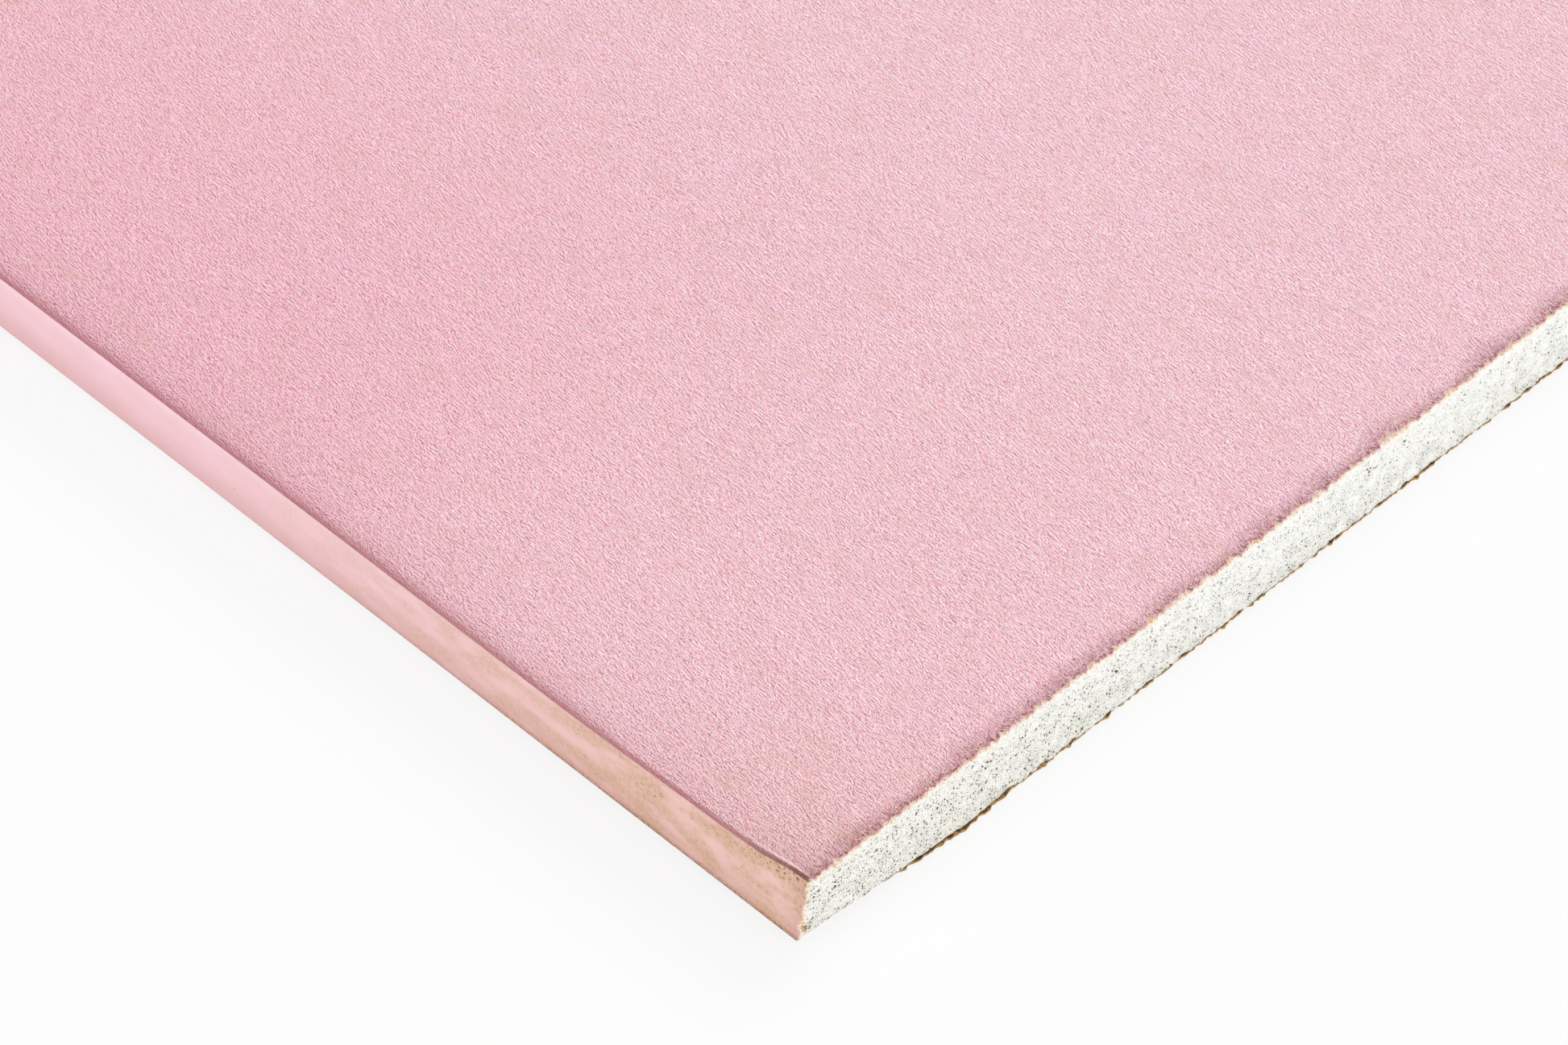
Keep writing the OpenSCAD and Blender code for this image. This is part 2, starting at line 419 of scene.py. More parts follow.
def sawn_gypsum():
    material, tree, in_mm = start_material("sawn_foamed_gypsum")
    across, height = (add(tree, "SeparateXYZ", {"Vector": in_mm}, axis) for axis in "YZ")
    mottle = add(tree, "TexNoise", {"Vector": in_mm, "Scale": 1 / 2.5, "Detail": 5.0, "Roughness": 0.65})
    crumbs = add(tree, "TexNoise", {"Vector": in_mm, "Scale": 1 / 0.35, "Detail": 3.0})
    from_corner = add(tree, "VectorMath", {
        "operation": "DISTANCE", 0: in_mm, 1: (half_length, -half_width, 0.0),
    }, "Value")
    colour = plaster_tone(tree, height, mottle, crumbs, from_corner)
    cut = add(tree, "CombineXYZ", {"X": across, "Y": height})
    jitter = add(tree, "TexNoise", {"Vector": in_mm, "Scale": 1 / 0.3, "Detail": 1.0}, "Color")
    uneven = add(tree, "VectorMath", {"operation": "MULTIPLY_ADD", 0: jitter, 1: (0.25, 0.25, 0.0), 2: cut})
    loose = add(tree, "MapRange", {**SMOOTH, "Value": height, START: 12.2, END: 9.0, "To Min": 0.25})

    # Pores are larger near the corner, and come in clusters
    larger = add(tree, "MapRange", {
        "Value": from_corner, START: 150.0, END: 10.0, "To Min": -0.03, "To Max": 0.03,
    })
    clustered = add(tree, "Math", {"operation": "MULTIPLY_ADD", 0: mottle, 1: 0.4, 2: -0.2})
    larger = add(tree, "Math", {"operation": "ADD", 0: larger, 1: clustered})
    depth = 0.0
    for cell_mm, kept, largest, painted_shade in PORES:
        cells = {"voronoi_dimensions": "2D", "Vector": uneven, "Scale": 1 / cell_mm}
        middle = add(tree, "TexVoronoi", cells, "Distance")
        lot = add(tree, "TexVoronoi", cells, "Color")
        lot = add(tree, "SeparateColor", {"Color": lot})
        size = add(tree, "MapRange", {
            "Value": lot, START: 1 - kept, "To Min": -0.05, "To Max": largest, "clamp": False,
        })
        size = add(tree, "Math", {"operation": "ADD", 0: size, 1: larger})
        inside = add(tree, "Math", {"operation": "SUBTRACT", 0: size, 1: middle})
        pore = add(tree, "MapRange", {**SMOOTH, "Value": inside, START: -0.06, END: 0.06})
        pore = add(tree, "Math", {**MULTIPLY, 0: pore, 1: loose})
        shade = add(tree, "Math", {**MULTIPLY, 0: pore, 1: painted_shade})
        # The pore's dark colour is painted shade inside the open bubble
        colour = add(tree, "Mix", {**COLOUR_MIX, 0: shade, 6: colour, 7: linear("#69552F")}, MIXED)
        depth = add(tree, "Math", {**HIGHEST, 0: depth, 1: pore})
    relief = add(tree, "Math", {"operation": "MULTIPLY_ADD", 0: depth, 1: -1.0, 2: crumbs})
    finish_material(tree, colour, relief, relief_mm=0.12, roughness=0.95, specular=0.15)
    return material


# %% [markdown]
# ## Brown back paper
# The back paper is undyed recycled pulp. It has the same felt as the face paper in kraft brown, with
# the same painted light and shade on its fibres. Its upper side, that faces the plaster, is darkened in
# blotches with painted shade from the gap under the plaster, and its torn edge is tan.

# %% Brown back paper, undyed
def brown_back_paper():
    material, tree, in_mm = start_material("brown_recycled_back_paper")
    felt = felt_height(tree, in_mm)
    sides = painted_fibre_sides(tree, in_mm, felt)
    curls = curled_fibres(tree, in_mm)
    height = add(tree, "SeparateXYZ", {"Vector": in_mm}, "Z")
    # Painted highlight on the lit side of each fibre
    lit = add(tree, "MapRange", {**SMOOTH, "Value": sides, START: 0.1, END: 0.9})
    pale = add(tree, "Math", {**MULTIPLY, 0: curls, 1: 0.4})
    # Painted shade along the upper side, under the plaster, broken into blotches
    blotch = add(tree, "TexNoise", {"Vector": in_mm, "Scale": 1 / 0.8, "Detail": 3.0})
    upper_shade = add(tree, "MapRange", {"Value": blotch, START: 0.36, END: 0.54})
    upper = add(tree, "MapRange", {**SMOOTH, "Value": height, START: 0.28, END: back_paper_thickness})
    upper_shade = add(tree, "Math", {**MULTIPLY, 0: upper_shade, 1: upper})
    colour = linear("#94703F")
    for mask, tint in ((lit, "#CFA972"), (pale, "#EAD2A8"), (upper_shade, "#5F4222")):
        colour = add(tree, "Mix", {**COLOUR_MIX, 0: mask, 6: colour, 7: linear(tint)}, MIXED)
    finish_material(tree, colour, felt, relief_mm=0.08, roughness=0.9, specular=0.2)
    return material


# %% [markdown]
# ## Torn fibres
# Where the saw pulls the papers apart, single fibres stand out of the cut. They are bare pulp, some
# bleached, some still brown, some dusty, so each fibre carries its own shade on the mesh.

# %% Loose fibres of recycled pulp
def loose_fibre():
    material, tree, in_mm = start_material("loose_recycled_pulp_fibre")
    shade = add(tree, "Attribute", {"attribute_name": "shade"}, "Fac")
    pale = add(tree, "MapRange", {**SMOOTH, "Value": shade, START: 0.05, END: 0.45})
    pinker = add(tree, "MapRange", {**SMOOTH, "Value": shade, START: 0.7, END: 0.95})
    darker_tint = add(tree, "MapRange", {"Value": shade, START: 0.0, END: -0.2})
    colour = linear("#DDA468")
    for mask, tint in ((pale, "#FFF0DC"), (pinker, "#FBE0E4"), (darker_tint, "#857650")):
        colour = add(tree, "Mix", {**COLOUR_MIX, 0: mask, 6: colour, 7: linear(tint)}, MIXED)
    grain = add(tree, "TexNoise", {"Vector": in_mm, "Scale": 1 / 0.1, "Detail": 1.0})
    finish_material(tree, colour, grain, relief_mm=0.01, roughness=0.85, specular=0.2)
    return material


# %% [markdown]
# ## Building meshes from rows of points
# Each piece is swept from rows of points. The middle of the sheet is plain and needs few rows, while
# the sawn ends need many small faces. So rows of different spacing meet along seams that a small
# function zips with triangles, and a paper gets its thickness by joining an outer and an inner copy.

# %% Mesh helpers
SHARP_ANGLE = np.radians(55)


def ripple(points, size, seed):
    shift = Vector((seed * 3.7, seed * 5.1, seed * 7.3))
    return np.array([noise.noise(Vector(point) / size + shift) for point in points])


def grid_faces(index):
    a, b, c, d = index[:-1, :-1], index[:-1, 1:], index[1:, 1:], index[1:, :-1]
    return np.stack([a, b, c, d], axis=-1).reshape(-1, 4).tolist()


def zip_rows(first, first_at, second, second_at):
    faces = []
    i = j = 0
    while i < len(first) - 1 or j < len(second) - 1:
        first_left = i < len(first) - 1
        second_left = j < len(second) - 1
        if first_left and (not second_left or first_at[i + 1] <= second_at[j + 1]):
            faces.append((first[i], first[i + 1], second[j]))
            i += 1
        else:
            faces.append((first[i], second[j + 1], second[j]))
            j += 1
    return faces


def thicken(outer, inner, faces):
    count = len(outer)
    edges = {(a, b) for face in faces for a, b in zip(face, (*face[1:], face[0]))}
    rim = [(b, a, a + count, b + count) for a, b in sorted(edges) if (b, a) not in edges]
    under = [tuple(i + count for i in reversed(face)) for face in faces]
    return np.concatenate([outer, inner]), [tuple(face) for face in faces] + under + rim


# %% Make a piece that takes the place of a CAD node, or rides beside one
def make_piece(name, points, faces, material, masks, node):
    mesh = bpy.data.meshes.new(name)
    mesh.from_pydata((points * MM).tolist(), [], faces)
    for mask, values in masks.items():
        layer = mesh.attributes.new(mask, "FLOAT", "POINT")
        layer.data.foreach_set("value", np.asarray(values, dtype=np.float32))
    mesh.materials.append(material)
    mesh.shade_smooth()
    mesh.set_sharp_from_angle(angle=SHARP_ANGLE)
    mesh.validate()
    piece = bpy.data.objects.new(name, mesh)
    bpy.context.collection.objects.link(piece)
    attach(piece, "root")
    if node:
        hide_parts(node)
    print(name, len(points), "points,", sum(len(f) - 2 for f in faces), "triangles")


# %% [markdown]
# ## The knocked corner
# The photographed corner has been knocked and handled. Plaster has crumbled away under a line that
# starts about 3 mm up at the long edge and runs out 35 mm along the end. The cut of the wrapped edge
# leans back a little, and its foot is chipped. Over the last 42 mm the crease climbs and leans in, so
# that the roll-off is only a narrow dirty bevel there, and over the last 10 mm its tip is rounded off.
# Small functions give these shifts to all the pieces.

# %% How far the pieces draw back or shift at the knocked corner
BREAK_LENGTH = 35.0
BREAK_HEIGHT = 2.8
BREAK_SLOPE = 1.1
CUT_LEAN = 0.7
CHIP_HEIGHT = 1.9
CHIP_DEPTH = 1.2
HANDLED_LENGTH = 42.0
CREASE_CLIMB = 0.45
CREASE_LEAN = 0.55
TIP_LENGTH = 10.0
TIP_END = 1.5
TIP_LEAN = 0.8
TIP_SET_BACK = 0.4
crease_level = face_level - roll_off_drop


def break_set_back(y, z):
    along = (y + half_width) / BREAK_LENGTH
    line = BREAK_HEIGHT * np.clip(1 - along, 0, 1) ** 1.2
    return BREAK_SLOPE * np.clip(line - z, 0, None)


def foot_set_back(z):
    chipped = np.clip((CHIP_HEIGHT - z) / CHIP_HEIGHT, 0, 1)
    return CUT_LEAN * np.clip(1 - z / crease_level, 0, 1) + CHIP_DEPTH * chipped


def handled(from_end):
    return np.clip(1 - from_end / HANDLED_LENGTH, 0, 1)


def rounded_tip(from_end):
    share = np.clip((TIP_LENGTH - from_end) / (TIP_LENGTH - TIP_END), 0, 1)
    return share ** 2 * (3 - 2 * share)


# %% [markdown]
# ## Face paper
# The section of the face paper is walked like a path: along the fold under the sheet, round the fold,
# up the edge, over the crease, up the roll-off and across the face, then the same again mirrored.
# Each leg is a straight or an arc, and the outside of the paper is always on the left.

# %% Walk the section of the face paper
CREASE_RADIUS = 0.25
roll_off_radius = (roll_off_width ** 2 + roll_off_drop ** 2) / (2 * roll_off_drop)
roll_off_angle = np.arcsin(roll_off_width / roll_off_radius)
fold_width = half_width - back_paper_half + lap_width


def walk_section(flap_step, arc_steps, edge_step, face_steps):
    rise = CREASE_RADIUS * np.cos(roll_off_angle) + roll_off_drop
    edge_height = face_level - back_paper_thickness - fold_radius - rise
    legs = [
        (fold_width - fold_radius, 0.0, int((fold_width - fold_radius) / flap_step)),
        (fold_radius * np.pi / 2, -np.pi / 2, arc_steps),
        (edge_height, 0.0, int(edge_height / edge_step)),
        (CREASE_RADIUS * (np.pi / 2 - roll_off_angle), roll_off_angle - np.pi / 2, arc_steps),
        (roll_off_radius * roll_off_angle, -roll_off_angle, int(roll_off_width / edge_step)),
    ]
    crease_at = sum(leg[0] for leg in legs[:3]) + legs[3][0] / 2
    place = np.array([-half_width + fold_width, back_paper_thickness])
    heading = np.pi
    near, normals = [place], [heading + np.pi / 2]
    for length, turn, steps in legs:
        for _ in range(steps):
            middle = heading + turn / steps / 2
            place = place + length / steps * np.array([np.cos(middle), np.sin(middle)])
            heading += turn / steps
            near.append(place)
            normals.append(heading + np.pi / 2)
    start = near[-1][0]
    across = [np.array([y, face_level]) for y in face_steps if start < y < -start]
    mirrored = [point * (-1, 1) for point in reversed(near)]
    section = np.array(near + across + mirrored)
    angles = np.array(normals + [np.pi / 2] * len(across) + [np.pi - a for a in reversed(normals)])
    travelled = np.concatenate([[0.0], np.cumsum(np.linalg.norm(np.diff(section, axis=0), axis=1))])
    from_crease = np.minimum(travelled, travelled[-1] - travelled) - crease_at
    return section, np.stack([np.cos(angles), np.sin(angles)], axis=1), travelled, from_crease


SEEN_STRETCH = 170.0
seen_steps = np.arange(-half_width, -half_width + SEEN_STRETCH, 0.2)
unseen_steps = np.arange(-half_width + SEEN_STRETCH, half_width, 1.8)
fine_section = walk_section(1.0, 8, 0.3, np.concatenate([seen_steps, unseen_steps]))
plain_steps = np.concatenate([
    np.linspace(-half_width + 6, -half_width + 200, 40), np.linspace(-half_width + 240, half_width - 6, 24),
])
plain_section = walk_section(6.0, 6, 0.25, plain_steps)
print("section points", len(fine_section[0]), "at the ends,", len(plain_section[0]), "between")

# %% [markdown]
# The paper's surface is made of three stretches: a finely divided strip at each sawn end, and a plain
# stretch between. In a strip, each row stands closer to the torn edge than the last, the outline grows
# more ragged, and the outer ply wears down to the pale plies inside. The crease is darkened with
# painted shade that fades up the roll-off and a little over the face. At the handled corner it ends
# sharply in a narrow dark bevel, with brown dirt near the corner, under a little ridge that carries a
# painted highlight.

# %% Shape and masks of the face paper at one place along the sheet
RIDGE_HEIGHT = 0.14
RIDGE_FROM_CREASE = 1.0
FADE_LENGTH = 1.1
BEVEL_WIDTH = 0.85
UNBENT_HEIGHT = 2


def place_paper(section, x, lift):
    profile, normal, _, from_crease = section
    y, z = profile.T
    near_corner = handled(half_length - x) * (y < 0)
    up_the_edge = np.clip((z - UNBENT_HEIGHT) / (crease_level - UNBENT_HEIGHT), 0, 1)
    down_the_roll = np.clip((face_level - z) / roll_off_drop, 0, 1)
    share = near_corner * np.where(from_crease > 0, down_the_roll, up_the_edge)
    tip_share = np.where(from_crease > 0, down_the_roll, up_the_edge ** 3)
    tip = rounded_tip(half_length - x) * (y < 0) * tip_share
    ridge = RIDGE_HEIGHT * near_corner * np.exp(-((from_crease - RIDGE_FROM_CREASE) / 0.4) ** 2)
    lean = CREASE_LEAN * share + TIP_LEAN * tip
    shift = np.column_stack([np.zeros_like(x), lean, CREASE_CLIMB * share + ridge])
    outer = np.column_stack([x, profile + normal * lift[:, None]]) + shift
    inner = np.column_stack([x, profile - normal * face_paper_thickness]) + shift
    # The crease mask is painted shade: dark at the crease, fading up the roll-off, faint over the face
    # beside it, and a narrow dark bevel at the handled corner
    fading = np.exp(-np.clip(from_crease - 0.3, 0, None) / FADE_LENGTH)
    from_end = np.clip(half_length - x, 0, None)
    bevel_width = BEVEL_WIDTH + 0.3 * np.exp(-from_end / 4)
    bevel = np.clip((bevel_width - from_crease) / 0.3, 0, 1)
    sharply = np.clip((near_corner - 0.1) / 0.25, 0, 1)
    shaded = 0.25 * np.exp(-from_crease / 6)
    crease = np.maximum(fading + (bevel - fading) * sharply, shaded) * (from_crease > 0)
    band = np.clip((0.1 - from_crease) / 0.2, 0, 1)
    # A painted highlight along the ridge over the last few millimetres before the corner
    ridge_highlight = sharply * np.exp(-((from_crease - bevel_width - 0.2) / 0.2) ** 2 - (from_end / 9) ** 4)
    return outer, inner, band, crease, ridge_highlight


# %% Torn outline of the face paper at a sawn end
STRIP = 12.0
set_backs = np.array([12.0, 8.0, 5.0, 3.2, 2.2, 1.5, 1.0, 0.65, 0.35, 0.15, 0.0])
rng = np.random.default_rng(7)


def torn_outline(section, side):
    profile, _, travelled, from_crease = section
    line = np.column_stack([travelled, np.zeros_like(travelled), np.full_like(travelled, side * 40.0)])
    ragged = 0.15 * ripple(line, 5.0, 1) + 0.2 * ripple(line, 1.3, 2) + 0.35 * ripple(line, 0.6, 3)
    ragged = ragged + rng.uniform(-0.12, 0.12, len(travelled))
    ragged = ragged * np.where(profile[:, 1] < crease_level, 0.4, 1.0)
    if side > 0:
        y, z = profile.T
        under_sheet = (y > -half_width + fold_radius) & (z < crease_level)
        ragged = ragged - np.where(under_sheet, break_set_back(y, z), foot_set_back(z) * (y < 0))
        ragged = ragged - TIP_SET_BACK * np.exp(-(from_crease / 1.6) ** 2) * (y < 0)
    return ragged


# %% Rows of the face paper: a fine strip at each end, and a plain stretch between
outer_rows, inner_rows, faces = [], [], []
masks = {"edge_band": [], "crease": [], "ridge": [], "sawn_end": [], "torn_ply": []}


def add_paper_row(section, x, lift, sawn, torn):
    first = sum(len(row) for row in outer_rows)
    outer, inner, band, crease, ridge = place_paper(section, x, lift)
    outer_rows.append(outer)
    inner_rows.append(inner)
    for name, values in zip(masks, (band, crease, ridge, sawn, torn)):
        masks[name].append(np.broadcast_to(values, len(x)))
    return np.arange(first, first + len(x))


def add_paper_strip(side):
    ragged = torn_outline(fine_section, side)
    along = fine_section[2]
    line = np.column_stack([along, np.full_like(along, side * 25.0), np.zeros_like(along)])
    torn_width = np.clip(0.15 + 0.7 * ripple(line, 2.2, 14) + 0.5 * ripple(line, 0.7, 15), 0.06, 0.8)
    cut_shade_width = np.clip(2.8 + 2.0 * ripple(line, 7.0, 16), 1.2, 4.5)
    rows = []
    for set_back in (set_backs if side > 0 else set_backs[::-1]):
        x = side * (half_length - set_back + ragged * (1 - set_back / STRIP) ** 1.5)
        worn = np.clip(1 - set_back / (2 * torn_width), 0, 1)
        lift = -0.8 * face_paper_thickness * worn ** 1.6 + 0.06 * worn * rng.uniform(-1, 1, len(x))
        # The sawn_end mask carries painted shade along the sawn edge of the face
        sawn = np.clip(1 - set_back / cut_shade_width, 0, 1) ** 0.8
        torn = np.clip(1.3 - set_back / torn_width, 0, 1)
        rows.append(add_paper_row(fine_section, x, lift, sawn, torn))
    return np.array(rows)


def add_plain_stretch():
    ends = half_length - STRIP - 2.0
    near = ends - np.cumsum(np.geomspace(2.0, 60.0, 24))
    x_rows = np.concatenate([[-ends], np.arange(-ends + 40, near[-1] - 30, 60.0), near[::-1], [ends]])
    columns = len(plain_section[0])
    rows = [add_paper_row(plain_section, np.full(columns, x), np.zeros(columns), 0.0, 0.0) for x in x_rows]
    return np.array(rows)


# %% Sweep the face paper along the sheet
far_strip = add_paper_strip(-1)
plain_stretch = add_plain_stretch()
near_strip = add_paper_strip(1)
for block in (far_strip, plain_stretch, near_strip):
    faces += grid_faces(block)
faces += zip_rows(far_strip[-1], fine_section[2], plain_stretch[0], plain_section[2])
faces += zip_rows(plain_stretch[-1], plain_section[2], near_strip[0], fine_section[2])

points, closed = thicken(np.concatenate(outer_rows), np.concatenate(inner_rows), faces)
face_masks = {name: np.concatenate(rows * 2) for name, rows in masks.items()}
face_masks["torn_ply"][len(points) // 2:] = 1.0
make_piece("face_paper_sheet", points, closed, pink_face_paper(), face_masks, "face_paper")

# %% [markdown]
# ## Gypsum core
# Only the two sawn ends of the core show. Each end is a grid between the inside of the face paper and
# the top of the back paper. Its points are pushed in and out by a little noise, some are sunk as
# pits, and the lower corner draws back along the break. Long plain faces join the two ends, with one
# ring behind the photographed end, so that its crease climbs only there.

# %% Outline of the core's end
core_half = float(core_high[1])
inner_fold = fold_radius - face_paper_thickness
inner_roll = roll_off_radius - face_paper_thickness


def core_bottom(y):
    in_fold = np.abs(y) > half_width - fold_width
    level = np.where(in_fold, back_paper_thickness + face_paper_thickness, back_paper_thickness)
    into_arc = np.clip(np.abs(y) - (half_width - fold_radius), 0, inner_fold)
    return level + inner_fold - np.sqrt(inner_fold ** 2 - into_arc ** 2)


def core_top(y):
    into_arc = np.clip(np.abs(y) - (half_width - roll_off_width), 0, None)
    return face_level - roll_off_radius + np.sqrt(inner_roll ** 2 - into_arc ** 2)


# %% The sawn ends of the core
NEAR_LEVELS = 38
FAR_LEVELS = 18
PIT_SHARE = 0.05


def sawn_end(y, levels, side, first):
    low, high = core_bottom(y), core_top(y)
    by_edge = np.clip(1 - (y + half_width) / roll_off_width, 0, 1) * (side > 0)
    high = high + CREASE_CLIMB * by_edge
    height = low + np.linspace(0, 1, levels)[:, None] * (high - low)
    upward = np.clip((height - UNBENT_HEIGHT) / (crease_level - UNBENT_HEIGHT), 0, 1)
    across = y + by_edge * (CREASE_LEAN * upward + TIP_LEAN * upward ** 3)
    flat = np.column_stack([np.full(across.size, side * 9.0), across.ravel(), height.ravel()])
    back = 0.06 * ripple(flat, 0.8, 4) + 0.1 * ripple(flat, 2.6, 5) + 0.06 * ripple(flat, 9.0, 6)
    pits = rng.random(len(flat)) < PIT_SHARE
    back = back + pits * rng.uniform(0.1, 0.4, len(flat))
    crumbled = np.clip(1 - (height - low).ravel() / 0.7, 0, 1)
    back = back + crumbled * np.clip(0.05 + 0.4 * ripple(flat, 1.5, 8), 0, None)
    if side > 0:
        wander = 1 + 0.25 * ripple(flat, 4.0, 9)
        broken = break_set_back(flat[:, 1], flat[:, 2] + 0.25 * ripple(flat, 2.0, 10)) * wander
        leaning = foot_set_back(flat[:, 2]) * np.clip(1 - (flat[:, 1] + half_width) / 12, 0, 1)
        from_tip = (flat[:, 1] + half_width - TIP_END) / TIP_END
        tip = np.exp(-from_tip ** 2 - ((flat[:, 2] - crease_level) / TIP_END) ** 2)
        back = back + np.maximum(broken, leaning) + 0.6 * TIP_SET_BACK * tip
    points = np.column_stack([side * (half_length - 0.1 - back), flat[:, 1:]])
    return points, first + np.arange(height.size).reshape(height.shape)


def rim_runs(index):
    return [index[-1], index[::-1, -1], index[0, ::-1], index[:, 0]]


near_y = np.concatenate([
    np.arange(-core_half, -core_half + SEEN_STRETCH, 0.3),
    np.linspace(-core_half + SEEN_STRETCH + 1, core_half, 690),
])
far_y = np.linspace(-core_half, core_half, 900)
near_points, near_index = sawn_end(near_y, NEAR_LEVELS, 1, 0)
far_points, far_index = sawn_end(far_y, FAR_LEVELS, -1, len(near_points))

# %% Join the ends of the core with long plain faces
core_points = np.concatenate([near_points, far_points])
core_faces = grid_faces(near_index) + [face[::-1] for face in grid_faces(far_index)]
near_loop = np.concatenate([run[:-1] for run in rim_runs(near_index)])
near_low, near_high = core_bottom(near_y), core_top(near_y)
plain_height = near_low + np.linspace(0, 1, NEAR_LEVELS)[:, None] * (near_high - near_low)
plain_grid = np.dstack(np.broadcast_arrays(near_y, plain_height)).reshape(-1, 2)
plain_rim = plain_grid[near_loop]
ring_points = near_points[near_loop].copy()
ring_points[:, 0] = half_length - HANDLED_LENGTH
ring_points[:, 1:] = plain_rim
ring_loop = np.arange(len(core_points), len(core_points) + len(ring_points))
core_points = np.concatenate([core_points, ring_points])
core_faces += grid_faces(np.stack([np.append(ring_loop, ring_loop[0]), np.append(near_loop, near_loop[0])]))
at = 0
for near_run, far_run in zip(rim_runs(near_index), rim_runs(far_index)):
    run = np.take(ring_loop, np.arange(at, at + len(near_run)), mode="wrap")
    core_faces += zip_rows(far_run, np.linspace(0, 1, len(far_run)), run, np.linspace(0, 1, len(run)))
    at += len(near_run) - 1
make_piece("gypsum_core_sawn", core_points, core_faces, sawn_gypsum(), {}, "gypsum_core")

# %% [markdown]
# ## Back paper
# The back paper tears where the saw leaves the sheet, so its ends are ragged and hold small tabs.
# It is swept like the face paper: a plain stretch, and a finely divided strip at each end.

# %% Ragged end of the back paper
TABS = 300


def back_outline(y, side):
    line = np.column_stack([y, np.zeros_like(y), np.full_like(y, side * 70.0)])
    ragged = -0.16 + 0.12 * ripple(line, 2.2, 11) + 0.25 * ripple(line, 0.7, 12)
    places = rng.uniform(-back_paper_half, back_paper_half, TABS)
    for place, width, reach in zip(places, rng.uniform(0.2, 0.6, TABS), rng.uniform(0.0, 0.25, TABS)):
        ragged = ragged + reach * np.exp(-((y - place) / width) ** 4)
    if side > 0:
        beside_break = np.exp(-((y + half_width - BREAK_LENGTH + 7) / 8) ** 4)
        ragged = ragged + (0.33 + 0.45 * ripple(line, 1.8, 13)) * beside_break
        ragged = ragged - break_set_back(y + 8, np.zeros_like(y))
    return ragged


# %% Sweep the back paper
BACK_SET_BACKS = (12.0, 6.0, 3.0, 1.5, 0.7, 0.3, 0.0)
fine_y = np.concatenate([
    np.arange(-back_paper_half, -back_paper_half + SEEN_STRETCH, 0.2),
    np.linspace(-back_paper_half + SEEN_STRETCH + 1, back_paper_half, 760),
])
plain_y = np.linspace(-back_paper_half, back_paper_half, 30)
stretches = []
for side in (-1, 1):
    ragged = back_outline(fine_y, side)
    strip = [
        side * (half_length - set_back + ragged * (1 - set_back / STRIP) ** 1.5)
        for set_back in BACK_SET_BACKS
    ]
    stretches.append((strip if side > 0 else strip[::-1], fine_y))
ends = half_length - STRIP - 2.0
stretches.insert(1, ([np.full(len(plain_y), x) for x in np.linspace(-ends, ends, 40)], plain_y))

back_points, back_faces, blocks = [], [], []
for rows, y in stretches:
    first = sum(len(row) for row in back_points)
    index = first + np.arange(len(rows) * len(y)).reshape(len(rows), len(y))
    back_points += [np.column_stack([x, y, np.zeros(len(y))]) for x in rows]
    back_faces += grid_faces(index)
    blocks.append((index, y))
for (first, first_y), (second, second_y) in zip(blocks, blocks[1:]):
    back_faces += zip_rows(first[-1], first_y, second[0], second_y)
underside = np.concatenate(back_points)
upper = underside + (0.0, 0.0, back_paper_thickness)
points, closed = thicken(upper, underside, back_faces)
make_piece("back_paper_sheet", points, closed, brown_back_paper(), {}, "back_paper")

# %% [markdown]
# ## Fibres at the sawn ends
# A torn paper edge is fringed with single fibres, and others lie loose on the face beside it. Each
# one is a thin curved prism with three sides, rooted in the paper. They are drawn 0.09 mm thick,
# about three times the real size, because finer ones would not show. All of them are one mesh, made
# from arrays.

# %% A fibre is a thin prism with three sides, tapered and bent along a curve and capped at both ends
FIBRE_RADIUS = 0.045
stations = np.linspace(0, 1, 4)
POINTS_PER_FIBRE = 3 * len(stations)


def grow_fibres(roots, heading, length, curl):
    sideways = np.cross(heading, (0.0, 0.3, 1.0))
    sideways /= np.linalg.norm(sideways, axis=1, keepdims=True)
    upward = np.cross(sideways, heading)
    rings = []
    for t in stations:
        middle = roots + heading * (length * t)[:, None] + curl * (length * t * t)[:, None]
        radius = FIBRE_RADIUS * (1 - 0.75 * t)
        rings.append(np.stack([
            middle + radius * (np.cos(a) * sideways + np.sin(a) * upward)
            for a in np.radians((0, 120, 240))
        ], axis=1))
    points = np.stack(rings, axis=1).reshape(-1, 3)
    first = np.arange(len(roots)) * POINTS_PER_FIBRE
    walls = [(3 * s + k, 3 * s + (k + 1) % 3, 3 * s + 3 + (k + 1) % 3, 3 * s + 3 + k)
             for s in range(3) for k in range(3)]
    faces = [tuple(int(f + i) for i in wall) for f in first for wall in walls]
    faces += [tuple(int(f + i) for i in cap) for f in first for cap in ((2, 1, 0), (9, 10, 11))]
    return points, faces


# %% Fringe of the torn edge, loose fibres beside it, and a dusty tuft low on the cut of the wrapped edge
def fringe(y, side):
    count = len(y)
    inward = rng.uniform(-0.1, 1.0, count) ** 2
    depth = rng.uniform(0.0, 1.0, count) * face_paper_thickness
    level = face_level - 0.02 - depth * (1 - inward)
    roots = np.column_stack([side * (half_length - 0.15 - inward), y, level])
    yaw, pitch = rng.normal(0, 0.8, count), rng.normal(0.0, 0.3, count)
    heading = np.column_stack([
        side * np.cos(yaw) * np.cos(pitch), np.sin(yaw) * np.cos(pitch), np.sin(pitch),
    ])
    curl = rng.normal(0, 0.25, (count, 3)) * (1, 1, 0.6)
    return roots, heading, rng.uniform(0.15, 0.65, count), curl, rng.random(count)


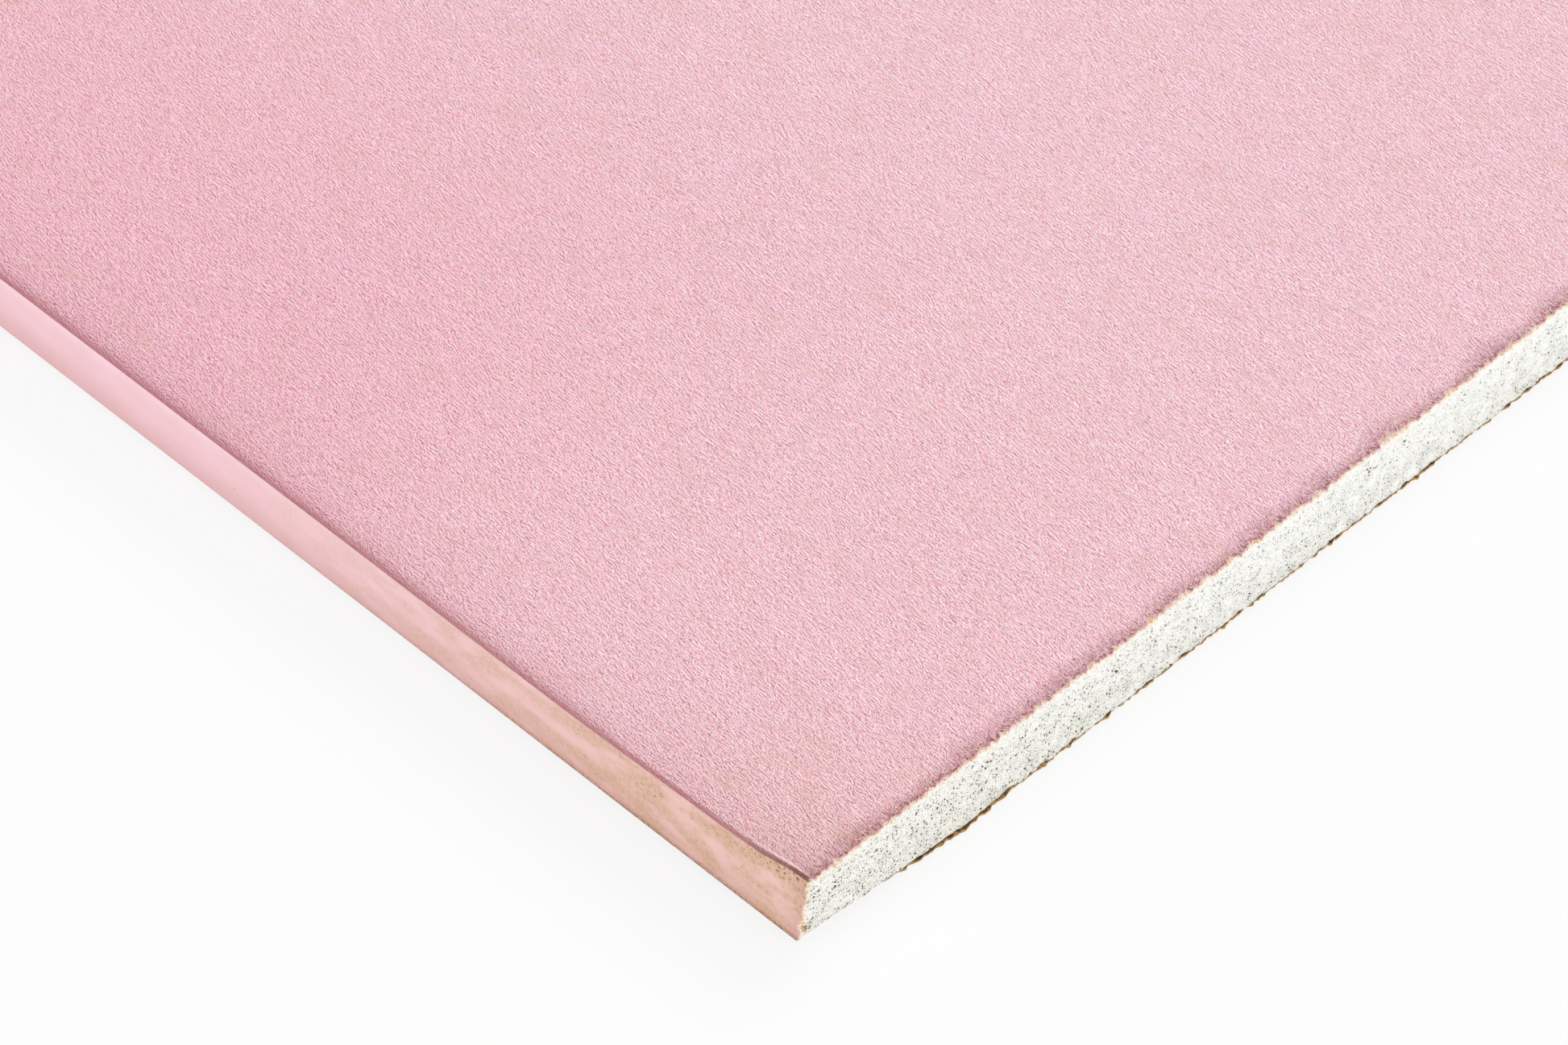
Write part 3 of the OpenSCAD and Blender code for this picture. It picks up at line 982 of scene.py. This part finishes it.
def lying(y, side):
    count = len(y)
    inward = 0.3 + rng.exponential(1.1, count)
    roots = np.column_stack([side * (half_length - inward), y, np.full(count, face_level + 0.01)])
    yaw, pitch = rng.uniform(0, 2 * np.pi, count), rng.uniform(0.0, 0.25, count)
    heading = np.column_stack([np.cos(yaw) * np.cos(pitch), np.sin(yaw) * np.cos(pitch), np.sin(pitch)])
    curl = rng.normal(0, 0.35, (count, 3)) * (1, 1, 0.1)
    return roots, heading, rng.uniform(0.3, 0.85, count), curl, rng.uniform(0.5, 1.0, count)


def tuft_at_foot(count):
    y = -half_width + rng.normal(0.9, 0.25, count)
    z = rng.normal(3.8, 0.35, count)
    roots = np.column_stack([half_length - 0.15 - foot_set_back(z), y, z])
    across, upward = rng.normal(0.3, 0.5, count), rng.normal(0.1, 0.5, count)
    heading = np.column_stack([np.full(count, 0.5), across, upward])
    heading /= np.linalg.norm(heading, axis=1, keepdims=True)
    curl = rng.normal(0, 0.3, (count, 3))
    return roots, heading, rng.uniform(0.2, 0.5, count), curl, rng.uniform(-0.25, 0.02, count)


# %% Grow all the fibres, most of them in the part of the end that the photograph shows
seen_y = rng.uniform(-half_width + 2.5, -half_width + SEEN_STRETCH, 3100)
unseen_y = rng.uniform(-half_width + SEEN_STRETCH, half_width - 2.5, 1700)
far_end_y = rng.uniform(-half_width + 2.5, half_width - 2.5, 2000)
tufts = [
    tuft_at_foot(60), fringe(seen_y[:2500], 1), lying(seen_y[2500:], 1),
    fringe(unseen_y[:1400], 1), lying(unseen_y[1400:], 1),
    fringe(far_end_y[:1700], -1), lying(far_end_y[1700:], -1),
]
roots, heading, length, curl, shade = (np.concatenate(parts) for parts in zip(*tufts))
fibre_points, fibre_faces = grow_fibres(roots, heading, length, curl)
fibre_masks = {"shade": np.repeat(shade, POINTS_PER_FIBRE)}
make_piece("torn_paper_fibres", fibre_points, fibre_faces, loose_fibre(), fibre_masks, None)

# %% [markdown]
# ## Floor and light
# A white floor under a soft sky. The floor is large enough for views of the whole sheet. For the
# camera it is brightened towards white, and it keeps a share of its own shading so that the shadow
# under the sheet still shows. Suns stand in for large soft boxes, because they light the whole
# length of the sheet alike: one high behind, and two low ones in front for the upright edges.

# %% Floor
FLOOR_SIZE = 60.0
FLOOR_LEVEL = -0.0002
FLOOR_BRIGHTENED = 0.85
floor_mesh = bpy.data.meshes.new("studio_floor")
s = FLOOR_SIZE / 2
floor_mesh.from_pydata([(-s, -s, 0), (s, -s, 0), (s, s, 0), (-s, s, 0)], [], [(0, 1, 2, 3)])
floor = bpy.data.objects.new("studio_floor", floor_mesh)
floor.location.z = FLOOR_LEVEL
bpy.context.collection.objects.link(floor)
floor_paint = bpy.data.materials.new("white_studio_floor")
floor_paint.use_nodes = True
floor_mesh.materials.append(floor_paint)


def seen_rays(tree):
    seen = add(tree, "LightPath", {}, "Is Camera Ray")
    for kind in ("Glossy", "Transmission"):
        this_kind = add(tree, "LightPath", {}, f"Is {kind} Ray")
        seen = add(tree, "Math", {**HIGHEST, 0: seen, 1: this_kind})
    return seen


tree = floor_paint.node_tree
tree.nodes.clear()
paint = add(tree, "BsdfDiffuse", {"Color": linear("#F2F2F2")})
white = add(tree, "Emission", {"Color": (1, 1, 1, 1), "Strength": 1.0})
brightened = add(tree, "MixShader", {0: FLOOR_BRIGHTENED, 1: paint, 2: white})
shown = add(tree, "MixShader", {0: seen_rays(tree), 1: paint, 2: brightened})
add(tree, "OutputMaterial", {"Surface": shown})

# %% Sky and lamps
world = bpy.data.worlds.new("studio_sky")
world.use_nodes = True
bpy.context.scene.world = world
tree = world.node_tree
tree.nodes.clear()
soft = add(tree, "Background", {"Color": (1, 1, 1, 1), "Strength": 0.5})
white = add(tree, "Background", {"Color": (1, 1, 1, 1), "Strength": 1.0})
shown = add(tree, "MixShader", {0: seen_rays(tree), 1: soft, 2: white})
add(tree, "OutputWorld", {"Surface": shown})


def add_lamp(name, azimuth, elevation, strength, softness):
    lamp = bpy.data.lights.new(name, "SUN")
    lamp.energy = strength
    lamp.angle = np.radians(softness)
    holder = bpy.data.objects.new(name, lamp)
    a, e = np.radians(azimuth), np.radians(elevation)
    towards = Vector((np.cos(a) * np.cos(e), np.sin(a) * np.cos(e), np.sin(e)))
    holder.rotation_euler = towards.to_track_quat("Z", "Y").to_euler()
    bpy.context.collection.objects.link(holder)


add_lamp("soft_box_behind", azimuth=100, elevation=42, strength=1.3, softness=35)
add_lamp("soft_box_left", azimuth=-105, elevation=16, strength=1.25, softness=50)
add_lamp("soft_box_right", azimuth=12, elevation=16, strength=1.3, softness=50)
bpy.context.scene.view_settings.view_transform = "Standard"
